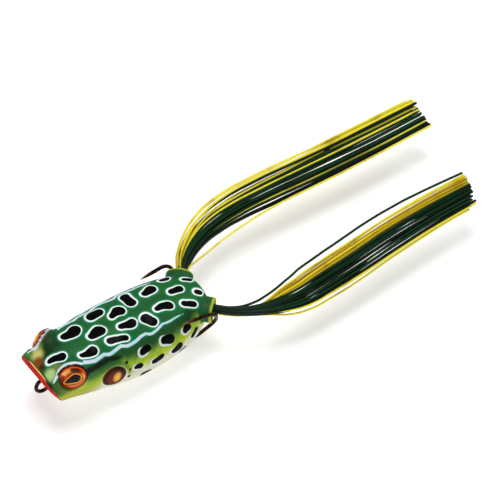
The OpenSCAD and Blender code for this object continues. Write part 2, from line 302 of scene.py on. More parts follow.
# --- paint: places are y along the body and s round the skin from the middle of the back ---

# Spots on the back and flanks: y, s, length, half width, turn in degrees, blunt rear end, crescent
SPOTS = [
    (4.9, 1.8, 4.7, 1.2, 15, 0.25, 0), (13.6, -3.6, 5.0, 1.9, -10, 0.25, 0),
    (14.1, 6.05, 4.9, 1.22, 7, 0.35, 0), (20.4, 0.8, 4.5, 1.7, -4, 0.25, 0),
    (25.2, 6.6, 5.9, 1.1, 18, -0.1, 0), (30.3, -2.5, 3.9, 1.65, -12, 0.3, 0),
    (24.7, -6.3, 4.1, 1.85, -7, 0.05, 0), (30.6, 3.5, 4.7, 1.4, 4, 0.2, 0),
    (37.0, -5.4, 4.9, 1.65, 88, 0.0, 0), (37.7, 5.5, 3.4, 1.75, 75, 0.0, 0),
    (44.5, -4.8, 4.1, 1.6, -8, 0.15, 0), (44.4, 3.4, 4.9, 1.35, 6, 0.25, 0),
    (52.0, -0.5, 3.7, 1.3, -2, 0.15, 0), (52.9, 6.2, 3.9, 1.1, 24, 0.0, 0),
    (58.4, 3.3, 1.8, 0.95, 35, 0.0, 0), (52.4, -7.6, 2.4, 1.2, 0, 0.1, 0),
    (58.6, -3.2, 2.5, 0.9, 46, 0.0, 0),
    (31.4, 13.9, 3.0, 1.3, -4, 0.1, 1), (40.0, 14.3, 3.3, 1.6, 5, 0.1, 1),
    (28.0, 18.7, 1.7, 1.25, 5, 0.1, 1), (35.3, 20.1, 3.4, 1.25, -8, 0.1, 1),
    (43.1, 19.8, 3.3, 1.5, -18, 0.1, 1), (47.8, 13.6, 2.3, 1.25, -28, 0.1, 1),
    (50.8, 16.7, 3.6, 0.85, -52, 0.0, 1), (46.0, 22.9, 2.6, 1.2, -15, 0.0, 1),
    (31.0, 24.6, 3.2, 1.2, 0, 0.0, 1),
    (31.8, -14.1, 2.9, 1.5, 8, 0.1, 1), (39.6, -14.6, 3.1, 1.5, -5, 0.1, 1),
    (28.2, -18.9, 1.9, 1.2, -5, 0.1, 1), (35.6, -20.0, 3.2, 1.3, 8, 0.1, 1),
    (43.4, -19.6, 3.1, 1.4, 18, 0.1, 1), (47.5, -13.8, 2.4, 1.25, 28, 0.1, 1),
    (50.6, -16.9, 3.4, 0.9, 52, 0.0, 1), (46.3, -24.0, 2.6, 1.2, 15, 0.0, 1),
    (31.5, -24.4, 3.2, 1.2, 0, 0.0, 1),
]
DOTS = [(24.2, 14.7, 0.6), (24.8, 17.9, 0.65), (24.5, 21.3, 0.6)]
# Pale line on each side of the back: y, s
STRIPE = np.array([
    (0.3, 7.6), (1.8, 6.8), (3.6, 5.9), (5.2, 5.8), (6.6, 6.2), (8.4, 7.0), (10.0, 7.7), (12.5, 8.7),
    (14.8, 9.3), (16.5, 9.1), (18.5, 8.8), (19.8, 9.5), (20.8, 9.6), (22.7, 9.3), (24.7, 9.0),
    (26.5, 10.0), (27.9, 10.1), (29.9, 9.9), (32.2, 9.3), (34.0, 9.2), (35.0, 9.9), (36.0, 10.1),
    (38.0, 9.8), (40.8, 8.9), (42.0, 9.1), (43.5, 9.1), (45.6, 8.8), (49.0, 8.6),
])
# Its half width along the body
STRIPE_HALF = np.array([
    (0.3, 0.35), (3, 0.66), (8, 0.74), (16, 0.58), (30, 0.52), (40, 0.4), (46, 0.28), (49, 0.1),
])


def ramp(x, a, b):
    """Smooth step from 0 at a to 1 at b."""
    t = np.clip((x - a) / (b - a), 0, 1)
    return t * t * (3 - 2 * t)


def linear(rgb):
    """Linear light of a colour given from 0 to 255."""
    c = np.array(rgb, float) / 255
    return np.where(c <= 0.04045, c / 12.92, ((c + 0.055) / 1.055) ** 2.4)


def spot_field(y, s):
    """Distance from the nearest spot's dark core, and how wide the pale ring is there."""
    best, ring, flank = np.full(len(y), 9.0), np.full(len(y), 0.8), np.zeros(len(y))
    for i, (y0, s0, length, half, turn, blunt, crescent) in enumerate(SPOTS):
        c, k = math.cos(math.radians(turn)), math.sin(math.radians(turn))
        u, v = (y - y0) * c + (s - s0) * k, -(y - y0) * k + (s - s0) * c
        reach = max(length / 2 - half * 0.4, 0.15)
        along = np.clip(u, -reach, reach)
        around = np.arctan2(v, u)
        r = half * 1.03 * (1 + blunt * along / reach) * (
            1 + 0.07 * np.sin(2 * around + i * 1.7) + 0.05 * np.sin(3 * around + i * 2.3))
        bend = 0.12 * half * np.sin(u * 0.9 + i)
        d = np.hypot(u - along, v - bend) - r
        near = d < best
        lit = 0.5 - 0.5 * np.cos(around - math.radians(150 if s0 > 0 else -150) - math.pi)
        width = 0.8 * ramp(lit, 0.3, 0.8) if crescent else 0.58 + 0.15 * np.cos(around + 2.6)
        best, ring = np.where(near, d, best), np.where(near, width, ring)
        flank = np.where(near, float(crescent), flank)
    for y0, s0, r in DOTS:
        d = np.hypot(y - y0, np.abs(s) - s0) - r
        near = d < best
        best, ring, flank = np.where(near, d, best), np.where(near, 0.0, ring), np.where(near, 1.0, flank)
    return best, ring, flank


def stripe_field(y, s):
    """Distance from the edge of the pale line."""
    a = np.abs(s)
    best = np.full(len(y), 9.0)
    for (y0, s0), (y1, s1) in zip(STRIPE[:-1], STRIPE[1:]):
        dy, ds = y1 - y0, s1 - s0
        t = np.clip(((y - y0) * dy + (a - s0) * ds) / (dy * dy + ds * ds), 0, 1)
        best = np.minimum(best, np.hypot(y - y0 - t * dy, a - s0 - t * ds))
    return best - np.interp(y, STRIPE_HALF[:, 0], STRIPE_HALF[:, 1])


BACK, BACK_WARM = (34, 98, 52), (48, 110, 48)
FLANK, FLANK_REAR, LEAF = (36, 82, 41), (28, 72, 36), (96, 138, 52)
LIME, SUN, CREAM, RAW = (160, 188, 46), (203, 206, 62), (229, 222, 206), (182, 192, 56)
# Soft sprayed patches of the head: y, s, reach along, reach round, colour, strength
PATCHES = [
    (4.8, -1.0, 3.4, 9.0, (24, 54, 27), 1.0), (8.0, -4.6, 3.0, 4.4, (22, 58, 30), 0.75),
    (2.3, 3.3, 2.2, 2.5, (72, 132, 62), 0.95), (0.8, 5.1, 1.9, 2.1, (188, 218, 138), 1.0),
    (2.6, -6.2, 2.0, 2.2, (140, 164, 70), 1.0), (1.5, -4.0, 2.0, 2.3, (212, 204, 118), 1.0),
    (0.5, -1.4, 1.7, 2.0, (138, 72, 34), 1.0), (0.8, 1.0, 2.0, 1.3, (64, 42, 18), 0.95),
    (5.2, -7.2, 2.4, 1.5, (156, 76, 32), 0.95), (3.9, 4.6, 1.4, 1.2, (140, 134, 52), 0.8),
    (0.2, -6.8, 1.1, 2.0, (96, 142, 64), 0.9),
]


def airbrush(y, z, s, inner, collar):
    """The sprayed colours before spots, lines and lip, in linear light."""
    row = ((y - SKIN_Y[0]) / SKIN_STEP).astype(int)
    equator = SKIN_ARC[np.clip(row, 0, len(SKIN_Y) - 1), EQUATOR]
    head = 1 - ramp(y, 13, 25)
    tail = ramp(y, 44, 54)
    u = np.abs(s) / equator - 0.10 * head + 0.06 * tail
    u = u + 0.018 * np.sin(y * 0.83 + 1) + 0.012 * np.sin(y * 1.9 + s)
    col = np.tile(linear(BACK), (len(y), 1))

    def mix(target, amount):
        nonlocal col
        k = np.clip(amount, 0, 1)[:, None]
        col = col * (1 - k) + linear(target) * k

    mix(BACK_WARM, 0.55 * np.exp(-((np.abs(s) - 3.2) / 2.0) ** 2) * ramp(y, 8, 14))
    mix((30, 112, 62), 0.6 * ramp(u, 0.36, 0.46) * (1 - ramp(u, 0.46, 0.52)))
    mix(FLANK, ramp(u, 0.47, 0.56))
    mix(FLANK_REAR, ramp(u, 0.40, 0.5) * tail)
    mix(LEAF, ramp(u, 0.62, 0.76))
    mix(LIME, ramp(u, 0.70, 0.84))
    mix(SUN, ramp(u, 0.86, 0.98) * 0.75)
    mix(CREAM, ramp(u, 0.95 + 0.02 * np.sin(y), 1.12))
    cheek = (1 - ramp(y, 2.0, 7.0)) * ramp(u, 0.5, 0.6) * (1 - ramp(u, 0.95, 1.2))
    mix((98, 128, 58), 0.9 * cheek)
    mix((52, 92, 46), 0.8 * cheek * (1 - ramp(y, -0.5, 2.5)))
    mix((178, 182, 62), (1 - ramp(y, 10, 17)) * ramp(u, 0.86, 1.0) * (1 - ramp(u, 1.2, 1.4)))
    behind = np.exp(-((y - 12.5) / 3.0) ** 2 - ((np.abs(s) - 13.2) / 2.2) ** 2)
    mix((66, 110, 56), 0.95 * behind)
    # dark dash from the eye to over the ear
    line = np.interp(y, [10, 13.8, 18.9, 23], [11.3, 11.3, 10.7, 12.0])
    half = np.interp(y, [9, 12, 18, 22, 24], [1.9, 1.3, 1.1, 0.9, 0.3])
    dash = 1 - ramp(np.abs(np.abs(s) - line), 0.45 * half, 1.1 * half)
    dash = dash * ramp(y, 8.0, 10) * (1 - ramp(y, 22, 24.5))
    mix((21, 30, 20), 0.95 * dash)
    for y0, s0, ry, rs, colour, strength in PATCHES:
        e = ((y - y0) / ry) ** 2 + ((s - s0) / rs) ** 2
        mix(colour, strength * np.exp(-(e ** 2.2)))
    mix((120, 92, 84), 0.75 * np.exp(-((u - 1.2) / 0.03) ** 2) * ramp(y, 1, 3) * (1 - ramp(y, 12, 16)))
    # sockets are sprayed from above; their rims, undersides and every inner wall stay bare
    mix((34, 92, 50), collar * ramp(z, 2.4, 3.6))
    mix(RAW, collar * (1 - ramp(z, 2.2, 3.4)))
    mix(RAW, np.maximum(inner, ramp(y, 60.2, 61.2) * (1 - ramp(z, 4.2, 5.6))))
    return col


def body_paint(p):
    """Attributes of the body's vertices."""
    x, y, z = p.T
    s = skin_place(x, y, z)
    ax = np.abs(x)
    face, up = mouth_place(y, z)
    lip = -face
    depth = -loft(x, y, z)
    t, w = socket_place(ax, y)
    round_socket = oval(w, z - RIM[2], *COLLAR)
    collar = ramp(t, -5.2, -3.6) * (1 - ramp(round_socket, 0.6, 1.2)) * ramp(-depth, -0.9, 0.2)
    rim_face = ramp(t, -0.22, -0.06) * (1 - ramp(round_socket, 0.5, 1.0))
    bore = (1 - ramp(round_socket, -0.75, -0.45)) * ramp(t, -9, -7.5)
    inside = ramp(depth, 0.55, 0.95) * ramp(y, 6.0, 8.0)
    inner = np.clip(np.maximum.reduce([inside, rim_face, bore]), 0, 1)
    spot, ring, flank = spot_field(y, s)
    stripe = stripe_field(y, s)
    hidden = np.maximum(inner, collar * ramp(t, -3.4, -2.6))
    spot = spot + 9 * hidden
    stripe = stripe + 9 * np.maximum(inner, collar)
    ear = np.linalg.norm(np.stack([x - np.sign(x) * EAR[0], y - EAR[1], z - EAR[2]], 1), axis=1)
    out, around_eye, rise = eye_place(ax, y, z)
    # distance from the eye's edge; the body material paints shade in a dark ring along it
    eye = around_eye + 1.3 * np.abs(out + 0.4) + 0.22 * (x < 0)
    seat = (around_eye < np.where(x < 0, 5.5, 4.95)) * (np.abs(out + 2.4) < 2.6)
    band = np.maximum(np.abs(out + 0.95) - 0.42, -1.5 - rise)
    band = np.where(y - EYE[1] < -3.1, np.minimum(band, stripe), band)
    stripe = np.where(seat, np.where(x < 0, band, np.maximum(stripe, -2.6 - out)), stripe)
    # mask of the inside of the mouth's cup; the body material darkens it as painted shade
    cup = ramp(-oval(x, up, *CUP), -0.1, 0.3) * (1 - ramp(lip, 5.5, 6.5))
    red = 1.5 - 0.55 * ramp(np.abs(s), 3, 9) - 0.35 * ramp(np.abs(s), 10, 14)
    return {
        "paint": airbrush(y, z, s, inner, collar),
        "spot": spot + 4 * (ear < 5), "ring": ring, "flank": flank, "stripe": stripe,
        "ear": ear, "ear_up": z - EAR[2], "ear_back": y - EAR[1], "eye_edge": eye,
        "lip": np.where(cup > 0.5, -2, lip) - red, "cup": cup, "skin_s": s, "inner": inner,
    }


# --- mesh helpers ---

def unit(v):
    v = np.asarray(v, float)
    return v / np.linalg.norm(v, axis=-1, keepdims=True)


def make(name, points, faces):
    """A smooth-shaded mesh object from points in millimetres."""
    mesh = bpy.data.meshes.new(name)
    mesh.from_pydata((np.asarray(points, float) * MM).tolist(), [], [list(map(int, f)) for f in faces])
    mesh.polygons.foreach_set("use_smooth", [True] * len(mesh.polygons))
    mesh.update()
    o = bpy.data.objects.new(name, mesh)
    bpy.context.scene.collection.objects.link(o)
    return o


def write(o, values):
    """Point attributes: one number a vertex, or a colour."""
    for name, v in values.items():
        v = np.asarray(v, np.float32)
        kind = "FLOAT_COLOR" if v.ndim == 2 else "FLOAT"
        a = o.data.attributes.new(name, kind, "POINT")
        if v.ndim == 2:
            a.data.foreach_set("color", np.concatenate([v, np.ones((len(v), 1), np.float32)], 1).ravel())
        else:
            a.data.foreach_set("value", v)


def frames(path, up):
    """Unit tangent, side and top vectors along a path, turning as little as possible."""
    t = unit(np.gradient(path, axis=0))
    side = np.empty_like(path)
    side[0] = unit(np.cross(t[0], up))
    for i in range(1, len(path)):
        v = side[i - 1] - t[i] * np.dot(side[i - 1], t[i])
        side[i] = unit(v)
    return t, side, np.cross(side, t)


def sweep(path, half_w, half_h, sides=10, up=(0, 0, 1), squareness=2.0):
    """Vertices, faces and length along for a closed tube round a path."""
    path = np.asarray(path, float)
    t, side, top = frames(path, np.asarray(up, float))
    half_w = np.broadcast_to(half_w, len(path))
    half_h = np.broadcast_to(half_h, len(path))
    a = np.linspace(0, 2 * math.pi, sides, endpoint=False)
    e = 2 / squareness
    ca = np.sign(np.cos(a)) * np.abs(np.cos(a)) ** e
    sa = np.sign(np.sin(a)) * np.abs(np.sin(a)) ** e
    rings = (path[:, None] + side[:, None] * (half_w[:, None] * ca)[..., None]
             + top[:, None] * (half_h[:, None] * sa)[..., None])
    verts = rings.reshape(-1, 3)
    faces = []
    for i in range(len(path) - 1):
        for k in range(sides):
            n = (k + 1) % sides
            faces.append((i * sides + k, (i + 1) * sides + k, (i + 1) * sides + n, i * sides + n))
    faces.append(tuple(range(sides)))
    faces.append(tuple((len(path) - 1) * sides + k for k in range(sides - 1, -1, -1)))
    run = np.concatenate([[0], np.cumsum(np.linalg.norm(np.diff(path, axis=0), axis=1))])
    return verts, faces, np.repeat(run, sides)


def join(parts):
    """One mesh from several (vertices, faces)."""
    verts, faces, n = [], [], 0
    for v, f in parts:
        verts.append(v)
        faces += [tuple(n + i for i in q) for q in f]
        n += len(v)
    return np.concatenate(verts), faces


def smooth_path(points, step):
    """A smooth curve through points, sampled evenly."""
    p = np.asarray(points, float)
    run = np.concatenate([[0], np.cumsum(np.linalg.norm(np.diff(p, axis=0), axis=1))])
    fine = np.linspace(0, run[-1], max(40, int(run[-1] / step * 4)))
    m = np.gradient(p, run, axis=0)
    i = np.clip(np.searchsorted(run, fine) - 1, 0, len(p) - 2)
    h = (run[i + 1] - run[i])[:, None]
    t = ((fine - run[i]) / h[:, 0])[:, None]
    c = (p[i] * (2 * t**3 - 3 * t**2 + 1) + m[i] * h * (t**3 - 2 * t**2 + t)
         + p[i + 1] * (3 * t**2 - 2 * t**3) + m[i + 1] * h * (t**3 - t**2))
    run = np.concatenate([[0], np.cumsum(np.linalg.norm(np.diff(c, axis=0), axis=1))])
    even = np.linspace(0, run[-1], max(3, int(round(run[-1] / step)) + 1))
    return np.stack([np.interp(even, run, c[:, k]) for k in range(3)], 1), even


# --- materials ---

class Paint:
    """A node material built by short calls; sockets are passed on as inputs."""

    def __init__(self, name):
        self.mat = bpy.data.materials.new(name)
        self.mat.use_nodes = True
        self.tree = self.mat.node_tree
        self.shader = next(n for n in self.tree.nodes if n.type == "BSDF_PRINCIPLED")
        self.out = next(n for n in self.tree.nodes if n.type == "OUTPUT_MATERIAL")

    def node(self, kind, inputs=None, **settings):
        n = self.tree.nodes.new("ShaderNode" + kind)
        for k, v in settings.items():
            setattr(n, k, v)
        for k, v in (inputs or {}).items():
            self.put(n.inputs[k], v)
        return n

    def put(self, socket, v):
        if isinstance(v, bpy.types.NodeSocket):
            self.tree.links.new(v, socket)
        elif socket.type == "RGBA" and len(v) == 3:
            socket.default_value = (*v, 1)
        else:
            socket.default_value = v

    def set(self, **values):
        for k, v in values.items():
            self.put(self.shader.inputs[k.replace("_", " ")], v)

    def value(self, name):
        return self.node("Attribute", attribute_name=name).outputs["Fac"]

    def colour(self, name):
        return self.node("Attribute", attribute_name=name).outputs["Color"]

    def step(self, v, lo, hi, a=0.0, b=1.0):
        """Smooth step of v from lo to hi, giving a to b."""
        n = self.node("MapRange", {0: v, 1: lo, 2: hi, 3: a, 4: b}, interpolation_type="SMOOTHSTEP")
        return n.outputs[0]

    def mix(self, fac, a, b, blend="MIX"):
        n = self.node("Mix", data_type="RGBA", blend_type=blend)
        for k, v in (("Factor_Float", fac), ("A_Color", a), ("B_Color", b)):
            s = next(i for i in n.inputs if i.identifier == k)
            self.put(s, v)
        return next(o for o in n.outputs if o.identifier == "Result_Color")

    def math(self, op, a, b=0.0):
        return self.node("Math", {0: a, 1: b}, operation=op).outputs[0]

    def product(self, first, *others):
        for v in others:
            first = self.math("MULTIPLY", first, v)
        return first

    def noise(self, scale, detail=3.0, rough=0.5, vector=None):
        v = vector or self.node("TexCoord").outputs["Object"]
        inputs = {"Vector": v, "Scale": scale, "Detail": detail, "Roughness": rough}
        return self.node("TexNoise", inputs).outputs["Fac"]

    def bump(self, height, strength, distance):
        n = self.node("Bump", {"Height": height, "Strength": strength, "Distance": distance})
        self.put(self.shader.inputs["Normal"], n.outputs["Normal"])


def rgb(*c):
    return tuple(float(v) for v in linear(c))


def body_material():
    m = Paint("painted_skin")
    spot, ring, flank = m.value("spot"), m.value("ring"), m.value("flank")
    stripe, lip, cup = m.value("stripe"), m.value("lip"), m.value("cup")
    mottle = m.noise(420.0, 4.0, 0.6)
    fine = m.noise(2600.0, 2.0)
    c = m.colour("paint")
    c = m.mix(m.step(mottle, 0.3, 0.7, 0.0, 0.28), c, m.mix(1.0, c, rgb(150, 205, 120), "MULTIPLY"))
    c = m.mix(m.step(fine, 0.62, 0.8, 0.0, 0.18), c, rgb(120, 150, 70))
    # sprayed teal glow, pale ring and dark core of the spots
    glow = m.math("SUBTRACT", spot, ring)
    amount = m.product(m.step(glow, 0.8, 0.05, 0.0, 0.92), m.step(flank, 0.4, 0.6, 1.0, 0.0))
    c = m.mix(amount, c, rgb(4, 150, 98))
    white = m.mix(flank, rgb(247, 250, 250), rgb(216, 221, 214))
    c = m.mix(m.step(glow, 0.07, -0.09), c, white)
    c = m.mix(m.step(spot, 0.06, -0.06), c, m.mix(mottle, rgb(2, 3, 3), rgb(10, 12, 11)))
    # the pale line
    c = m.mix(m.step(stripe, 0.45, 0.0, 0.0, 0.8), c, rgb(10, 132, 100))
    pale = m.mix(m.step(mottle, 0.35, 0.65), rgb(186, 219, 230), rgb(212, 230, 236))
    pale = m.mix(m.step(m.value("ear_back"), -3.0, -12.0), pale, rgb(226, 231, 242))
    c = m.mix(m.step(stripe, 0.05, -0.1), c, pale)
    # painted ear
    ear, up, back = m.value("ear"), m.value("ear_up"), m.value("ear_back")
    above = m.step(m.math("ADD", up, m.product(back, 0.6)), 0.4, 2.4)
    arc = m.product(m.step(ear, 4.2, 4.7), m.step(ear, 6.3, 5.4), above, 0.55)
    c = m.mix(arc, c, rgb(58, 104, 48))
    halo = m.product(m.step(ear, 4.0, 4.15), m.step(ear, 5.0, 4.3), m.step(up, 2.2, -1.0, 0.15, 0.85))
    c = m.mix(halo, c, rgb(232, 230, 200))
    c = m.mix(m.step(ear, 4.28, 4.1), c, m.mix(m.step(back, -2.0, 1.5), rgb(120, 62, 26), rgb(58, 34, 18)))
    c = m.mix(m.step(ear, 4.0, 3.7), c, rgb(40, 22, 13))
    c = m.mix(m.step(ear, 3.6, 1.9, 0.0, 1.0), c, rgb(112, 40, 24))
    past = m.math("SUBTRACT", back, 0.75)
    tilt = m.math("ADD", m.product(past, 0.8), m.product(up, -0.35))
    along = m.math("ADD", m.product(past, 0.35), m.product(up, 0.5))
    gold = m.math("ADD", m.product(tilt, tilt), m.product(along, along))
    gold = m.product(m.step(gold, 2.3, 0.0), m.step(ear, 3.4, 2.2))
    c = m.mix(gold, c, rgb(244, 176, 72))
    # seat of the eye, lip and cup
    # painted shade: a dark ring on the seat round each eye, in the gap where it sits
    c = m.mix(m.step(m.value("eye_edge"), 5.45, 4.95), c, rgb(40, 34, 18))
    s = m.value("skin_s")
    # painted shade: a dark green line in the crease behind the lip, on the left side only
    seam = m.product(m.step(lip, 1.1, 0.5), m.step(s, 1.6, 3.2), m.step(s, 10.5, 8.0))
    c = m.mix(seam, c, rgb(20, 44, 22))
    # painted highlight: a pale yellow line along the top of the upper lip, just behind the red
    edge = m.product(m.step(s, -5.0, -2.5), m.step(s, 6.5, 4.0), m.step(lip, 0.42, 0.28))
    c = m.mix(edge, c, rgb(240, 208, 118))
    red = m.mix(m.step(mottle, 0.35, 0.7), rgb(214, 52, 40), rgb(186, 36, 32))
    c = m.mix(m.step(lip, 0.06, -0.06), c, red)
    # painted shade: the inside of the mouth's cup is darkened to a deeper red
    c = m.mix(m.product(cup, 0.45), c, rgb(120, 16, 18))
    m.set(Base_Color=c, Specular_IOR_Level=m.step(spot, 0.06, -0.06, 0.05, 0.01))
    m.set(Coat_Weight=0.04, Coat_Roughness=0.1)
    m.set(Roughness=m.step(mottle, 0.2, 0.8, 0.36, 0.5))
    height = m.math("ADD", m.product(mottle, 0.7), m.product(fine, 0.3))
    m.bump(height, 0.22, 0.00012)
    return m.mat


def wire_material():
    m = Paint("bronzed_wire")
    n = m.noise(900.0, 4.0, 0.6)
    pits = m.noise(5200.0, 2.0)
    c = m.mix(m.step(n, 0.35, 0.68), rgb(12, 10, 8), rgb(52, 36, 25))
    # painted highlight: copper is mixed in near the hook's points, with a faint copper tint all over
    m.set(Base_Color=m.mix(m.value("point_glint"), c, rgb(140, 98, 64)), Metallic=1.0)
    m.set(Roughness=m.step(n, 0.2, 0.8, 0.16, 0.34))
    m.bump(pits, 0.15, 0.00004)
    return m.mat


def metal_material(name, low, high, rough, scale, bump):
    m = Paint(name)
    n = m.noise(scale, 5.0, 0.65)
    m.set(Base_Color=m.mix(m.step(n, 0.3, 0.7), low, high), Metallic=1.0)
    m.set(Roughness=m.step(n, 0.2, 0.8, rough - 0.1, rough + 0.15))
    m.bump(n, 0.5, bump)
    return m.mat


def rubber_material():
    m = Paint("band_rubber")
    n = m.noise(1500.0, 4.0)
    m.set(Base_Color=m.mix(n, rgb(16, 17, 17), rgb(38, 38, 38)), Roughness=m.step(n, 0.2, 0.8, 0.6, 0.8))
    m.bump(n, 0.4, 0.00008)
    return m.mat


def strand_material(name, shade_colour, main, light, glow):
    m = Paint(name)
    tone, run, side = m.value("tone"), m.value("run"), m.value("side")
    cloud = m.noise(130.0, 3.0)
    fleck = m.noise(3800.0, 2.0)
    c = m.mix(m.step(tone, 0.15, 0.9), main, light)
    # painted shade: the first of the three colours is the strand colour in shade; strands of low random tone
    # and cloudy patches take it, standing in for shade between strands
    c = m.mix(m.step(tone, 0.3, 0.08, 0.0, 0.9), c, shade_colour)
    c = m.mix(m.step(cloud, 0.5, 0.72, 0.0, 0.5), c, shade_colour)
    # painted shade: strands darken towards the root, plus a fixed random share per strand
    c = m.mix(m.step(side, 0.2, 1.0, 0.0, 0.45), c, shade_colour)
    c = m.mix(m.step(fleck, 0.62, 0.8, 0.0, 0.25), c, light)
    m.set(Base_Color=c, Specular_IOR_Level=0.13, Subsurface_Weight=glow, Subsurface_Scale=0.0006)
    m.shader.inputs["Subsurface Radius"].default_value = (1.0, 0.9, 0.3)
    m.set(Roughness=m.step(fleck, 0.2, 0.8, 0.34, 0.5))
    ribs = m.math("SINE", m.product(run, 3.1))
    m.bump(m.math("ADD", m.product(ribs, 0.2), fleck), 0.2, 0.00005)
    return m.mat


def iris_material():
    m = Paint("printed_iris")
    f, g, pupil = m.value("front"), m.value("rise"), m.value("pupil")
    r = m.math("POWER", m.math("ADD", m.product(f, f), m.product(g, g)), 0.5)
    turn = m.math("ARCTAN2", g, f)
    rays = m.node("CombineXYZ", {0: m.product(turn, 9.0), 1: m.product(r, 1.2), 2: 0.0}).outputs[0]
    streak = m.noise(1.6, vector=rays)

    def sector(middle, width, lo, hi):
        """A soft patch round an angle, between two radii."""
        gap = m.math("COSINE", m.math("SUBTRACT", turn, math.radians(middle)))
        fade = m.step(gap, math.cos(math.radians(width)), math.cos(math.radians(width * 0.35)))
        return m.product(fade, m.step(r, lo - 0.1, lo + 0.03), m.step(r, hi + 0.08, hi - 0.03))

    c = m.mix(m.step(streak, 0.35, 0.68), rgb(150, 40, 14), rgb(236, 88, 18))
    c = m.mix(sector(100, 62, 0.52, 0.86), c, rgb(70, 27, 18))
    c = m.mix(sector(-22, 55, 0.6, 0.88), c, rgb(126, 34, 26))
    foil_and_glint = m.step(streak, 0.35, 0.65)
    # painted highlight: the pale-gold patch at the upper front of the iris; the gold patch behind the pupil on
    # the next line is print
    c = m.mix(sector(58, 36, 0.55, 0.9), c, m.mix(foil_and_glint, rgb(246, 120, 24), rgb(255, 222, 112)))
    c = m.mix(sector(200, 46, 0.45, 0.82), c, m.mix(foil_and_glint, rgb(246, 140, 26), rgb(255, 224, 96)))
    c = m.mix(sector(-95, 58, 0.74, 0.84), c, rgb(216, 120, 52))
    c = m.mix(m.step(r, 0.85, 0.91), c, rgb(226, 72, 26))
    c = m.mix(m.step(r, 0.965, 0.99), c, rgb(70, 22, 14))
    c = m.mix(m.step(pupil, 0.28, 0.18), c, rgb(112, 44, 20))
    c = m.mix(m.step(pupil, 0.19, 0.14), c, m.mix(streak, rgb(236, 128, 30), rgb(252, 190, 62)))
    c = m.mix(m.step(pupil, 0.075, 0.045), c, rgb(74, 34, 18))
    c = m.mix(m.step(pupil, 0.02, -0.01), c, rgb(8, 7, 6))
    m.set(Base_Color=c, Specular_IOR_Level=0.05, Roughness=m.step(streak, 0.2, 0.8, 0.4, 0.55))
    m.set(Coat_Weight=0.25, Coat_Roughness=0.12)
    m.bump(m.step(r, 0.84, 0.9), 0.3, 0.00008)
    return m.mat


def dome_material():
    """Clear resin: it shows what is behind it and adds its own gloss."""
    m = Paint("clear_dome")
    m.tree.nodes.remove(m.shader)
    haze = m.step(m.noise(700.0, 2.0), 0.3, 0.7, 0.12, 0.2)
    clear = m.node("BsdfTransparent", {"Color": (0.99, 0.975, 0.95, 1)}).outputs[0]
    gloss = m.node("BsdfGlossy", {"Color": (1, 1, 1, 1), "Roughness": haze}).outputs[0]
    rim = m.node("Fresnel", {"IOR": 1.36}).outputs[0]
    inside = m.node("NewGeometry").outputs["Backfacing"]
    rim = m.product(m.step(rim, 0.03, 0.5, 0.0, 0.4), m.math("SUBTRACT", 1.0, inside))
    m.put(m.out.inputs["Surface"], m.node("MixShader", {0: rim, 1: clear, 2: gloss}).outputs[0])
    return m.mat


# --- pieces ---

def finish_piece(o, body, material, slot, *nodes):
    o.data.materials.append(material)
    if body:
        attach(o, body)
    if nodes:
        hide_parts(*nodes)
    return o


# Box and step of the grid that the shell's skin is drawn from
GRID_BOX = (-15, -8, -9.6), (15, 66.6, 14.4)
GRID_STEP = 0.33


def build_body():
    p, quads = surface(*GRID_BOX, GRID_STEP)
    for _ in range(2):
        g = gradient(p)
        n = np.maximum(np.linalg.norm(g, axis=1), 0.3)[:, None]
        move = -body_field(*p.T)[:, None] * g / n**2
        size = np.linalg.norm(move, axis=1)[:, None]
        p = p + move * np.minimum(1, 0.12 / np.maximum(size, 1e-6))
    n = unit(gradient(p, 0.15))
    a = body_paint(p)
    s, y = np.abs(a["skin_s"]), p[:, 1]
    line = np.interp(y, STRIPE[:, 0], STRIPE[:, 1])
    fold = 0.24 * np.exp(-((s - line - 0.5) / 0.95) ** 2) * ramp(y, 3, 7) * (1 - ramp(y, 44, 50))
    ear = a["ear"]
    dome = 0.6 * np.sqrt(np.clip(1 - (ear / 4.05) ** 2, 0, 1)) - 0.12 * np.exp(-((ear - 4.3) / 0.25) ** 2)
    arc = ramp(a["ear_up"] + 0.6 * a["ear_back"], 0.4, 2.4)
    ridge = 0.36 * np.exp(-((ear - 5.2) / 0.6) ** 2) * arc
    wave = 0.05 * np.sin(p[:, 0] * 0.9 + 1.1 * np.sin(y * 0.31)) * np.sin(y * 0.55 + 0.7)
    free = (1 - a["inner"]) * (1 - ramp(y, 55, 58)) * ramp(a["lip"], 0.2, 2.0)
    p = p + n * ((fold + dome + ridge + wave) * free)[:, None]
    o = make("frog_body", p, quads)
    write(o, a)
    return finish_piece(o, "lure", body_material(), "body_skin", "body_shell")


def eye_axes(side):
    flip = np.array([side, 1, 1])
    return EYE * flip, EYE_OUT * flip, EYE_FRONT * flip, EYE_UP * flip


def turned(centre, out, a, b, profile, sides=64):
    """A closed form turned about an axis: profile rows are radius and height."""
    verts, faces = [], []
    turn = np.linspace(0, 2 * math.pi, sides, endpoint=False)
    for r, h in profile:
        verts.append(centre + out * h + r * (np.cos(turn)[:, None] * a + np.sin(turn)[:, None] * b))
    for i in range(len(profile) - 1):
        for k in range(sides):
            n = (k + 1) % sides
            faces.append((i * sides + k, i * sides + n, (i + 1) * sides + n, (i + 1) * sides + k))
    top = len(profile) * sides
    verts.append((centre + out * profile[0][1])[None])
    verts.append((centre + out * profile[-1][1])[None])
    for k in range(sides):
        n = (k + 1) % sides
        faces.append((top, n, k))
        faces.append((top + 1, (len(profile) - 1) * sides + k, (len(profile) - 1) * sides + n))
    if np.dot(np.cross(a, b), out) < 0:
        faces = [f[::-1] for f in faces]
    return np.concatenate(verts), faces


IRIS_R, IRIS_RISE = 4.15, 1.65


